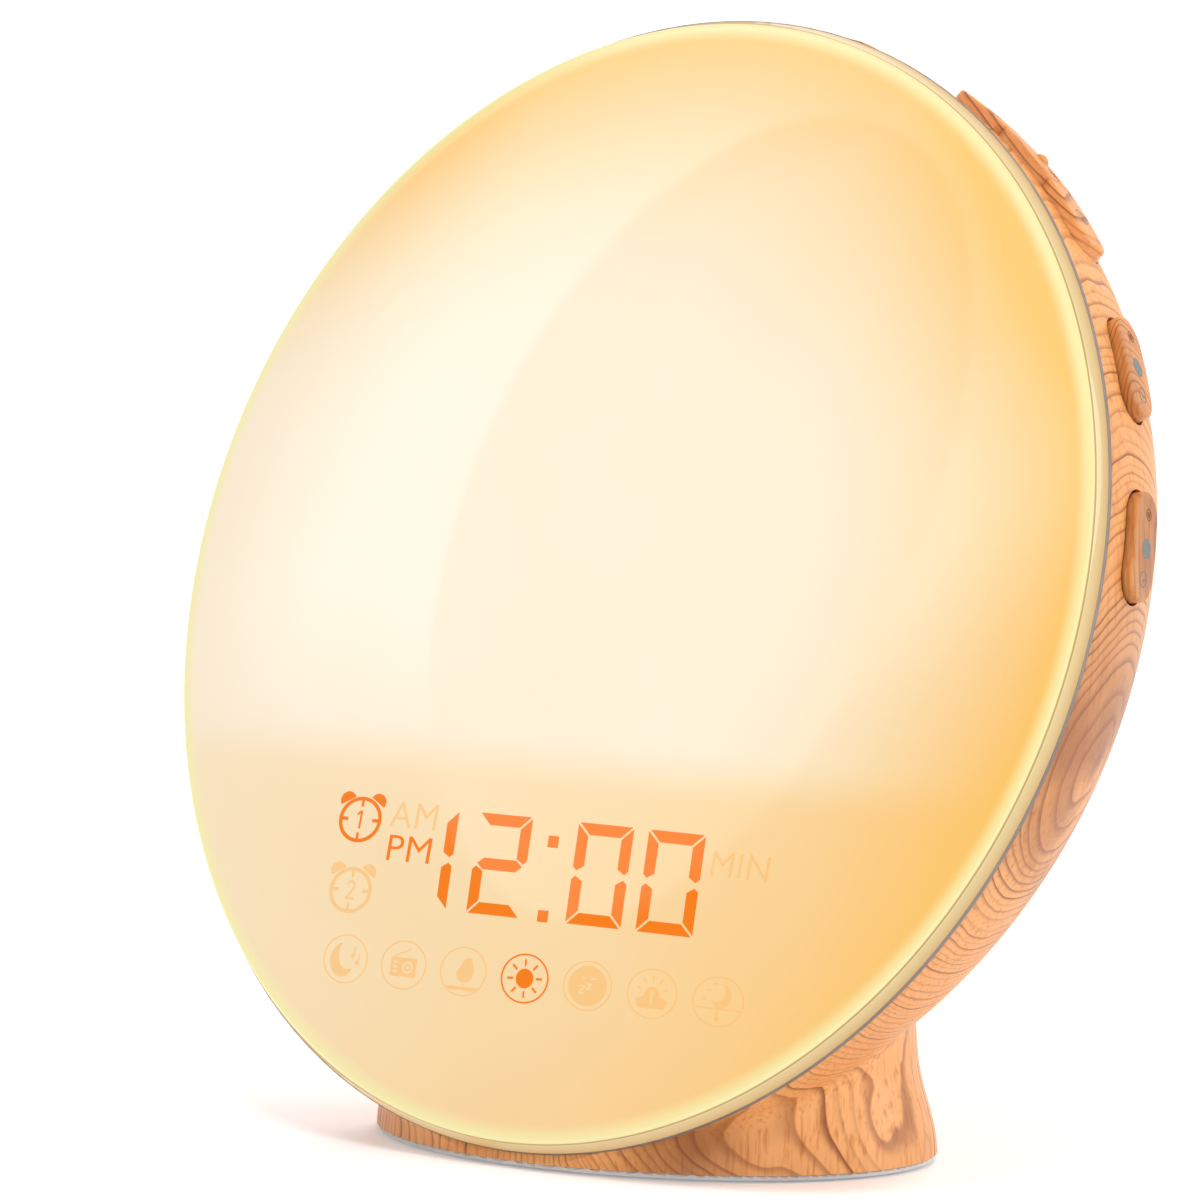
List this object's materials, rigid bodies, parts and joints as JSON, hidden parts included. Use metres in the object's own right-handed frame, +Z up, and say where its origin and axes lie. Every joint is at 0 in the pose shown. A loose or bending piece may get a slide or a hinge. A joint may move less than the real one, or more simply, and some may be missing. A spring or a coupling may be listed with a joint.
{
  "type": "sunrise alarm clock",
  "caption": "Round lit alarm clock that leans back on an oval foot: a milky front over a clock display, a wood-print casing, keys and rockers on its shoulder, a speaker and sockets behind.",
  "frame": {"origin": "centre of the oval foot, on the surface that it stands on", "axes": "+X to the right seen from the front, +Y to the back, +Z up"},
  "size_m": [0.185, 0.0884, 0.1783],
  "materials": {
    "wood_print": "satin wood-grain print on moulded plastic",
    "milky_lens": "glossy milky diffuser",
    "grey_frame": "fine matte grey",
    "white_plastic": "fine matte white",
    "pad_rubber": "matte non-slip rubber",
    "dark_film": "translucent printed film",
    "circuit_board": "solder mask",
    "chip_black": "moulded epoxy",
    "led_chip": "phosphor in white plastic",
    "bare_steel": "plated steel",
    "switch_black": "moulded plastic",
    "plunger_brown": "moulded plastic",
    "speaker_steel": "black paint on pressed steel",
    "magnet_ferrite": "sintered ferrite",
    "cone_paper": "pressed paper pulp",
    "foam": "closed-cell foam",
    "cable_jacket": "flexible jacket",
    "holder_plastic": "moulded plastic"
  },
  "bodies": {
    "casing": {"back_shell": "wood_print", "base_plate": "white_plastic", "base_pads": "pad_rubber", "mid_frame": "grey_frame", "front_lens": "milky_lens", "reflector_plate": "white_plastic", "light_board": "circuit_board", "light_chips": "led_chip", "display_light_box": "white_plastic", "display_film": "dark_film", "display_board": "circuit_board", "display_leds": "led_chip", "main_board": "circuit_board", "main_board_chips": "chip_black", "coin_cell_holder": "holder_plastic", "coin_cell": "bare_steel", "display_ribbon": "cable_jacket", "speaker_lead": "cable_jacket", "speaker_basket": "speaker_steel", "speaker_gasket": "foam", "speaker_cone": "cone_paper", "speaker_magnet": "magnet_ferrite", "io_board": "circuit_board", "usb_a_socket": "bare_steel", "micro_usb_socket": "bare_steel", "reset_switch": "switch_black", "case_screws": "bare_steel", "board_screws": "bare_steel", "key_board_top": "circuit_board", "key_board_right": "circuit_board", "key_board_left": "circuit_board", "key_switches": "switch_black", "rocker_board": "circuit_board", "rocker_switches": "switch_black", "rocker_pins": "bare_steel"},
    "alarm_1_key": {"alarm_1_key": "wood_print", "alarm_1_plunger": "plunger_brown"},
    "snooze_key": {"snooze_key": "wood_print", "snooze_plunger": "plunger_brown"},
    "alarm_2_key": {"alarm_2_key": "wood_print", "alarm_2_plunger": "plunger_brown"},
    "brighter_key": {"brighter_key": "wood_print", "brighter_plunger": "plunger_brown"},
    "light_key": {"light_key": "wood_print", "light_plunger": "plunger_brown"},
    "dimmer_key": {"dimmer_key": "wood_print", "dimmer_plunger": "plunger_brown"},
    "louder_key": {"louder_key": "wood_print", "louder_plunger": "plunger_brown"},
    "sound_key": {"sound_key": "wood_print", "sound_plunger": "plunger_brown"},
    "quieter_key": {"quieter_key": "wood_print", "quieter_plunger": "plunger_brown"},
    "upper_rocker": {"upper_rocker": "wood_print"},
    "lower_rocker": {"lower_rocker": "wood_print"},
    "reset_plunger": {"reset_plunger": "plunger_brown"}
  },
  "joints": [
    {"name": "alarm_1_press", "type": "slide", "parent": "casing", "child": "alarm_1_key", "axis": [0, -0.314, -0.9494], "range_m": [0, 0.0005], "stiffness_N_per_m": 400},
    {"name": "snooze_press", "type": "slide", "parent": "casing", "child": "snooze_key", "axis": [0, -0.314, -0.9494], "range_m": [0, 0.0005], "stiffness_N_per_m": 400},
    {"name": "alarm_2_press", "type": "slide", "parent": "casing", "child": "alarm_2_key", "axis": [0, -0.314, -0.9494], "range_m": [0, 0.0005], "stiffness_N_per_m": 400},
    {"name": "brighter_press", "type": "slide", "parent": "casing", "child": "brighter_key", "axis": [-0.6018, -0.2508, -0.7582], "range_m": [0, 0.0005], "stiffness_N_per_m": 400},
    {"name": "light_press", "type": "slide", "parent": "casing", "child": "light_key", "axis": [-0.6018, -0.2508, -0.7582], "range_m": [0, 0.0005], "stiffness_N_per_m": 400},
    {"name": "dimmer_press", "type": "slide", "parent": "casing", "child": "dimmer_key", "axis": [-0.6018, -0.2508, -0.7582], "range_m": [0, 0.0005], "stiffness_N_per_m": 400},
    {"name": "louder_press", "type": "slide", "parent": "casing", "child": "louder_key", "axis": [0.6018, -0.2508, -0.7582], "range_m": [0, 0.0005], "stiffness_N_per_m": 400},
    {"name": "sound_press", "type": "slide", "parent": "casing", "child": "sound_key", "axis": [0.6018, -0.2508, -0.7582], "range_m": [0, 0.0005], "stiffness_N_per_m": 400},
    {"name": "quieter_press", "type": "slide", "parent": "casing", "child": "quieter_key", "axis": [0.6018, -0.2508, -0.7582], "range_m": [0, 0.0005], "stiffness_N_per_m": 400},
    {"name": "upper_rocker_tilt", "type": "hinge", "parent": "casing", "child": "upper_rocker", "pos_m": [0.07609, 0.0166, 0.12383], "axis": [0, -0.9494, 0.314], "range_deg": [-2.5, 2.5], "stiffness_Nm_per_rad": 0.01},
    {"name": "lower_rocker_tilt", "type": "hinge", "parent": "casing", "child": "lower_rocker", "pos_m": [0.08446, 0.00839, 0.09901], "axis": [0, -0.9494, 0.314], "range_deg": [-2.5, 2.5], "stiffness_Nm_per_rad": 0.01},
    {"name": "reset_press", "type": "slide", "parent": "casing", "child": "reset_plunger", "axis": [0, -1, 0], "range_m": [0, 0.00025], "stiffness_N_per_m": 200}
  ]
}
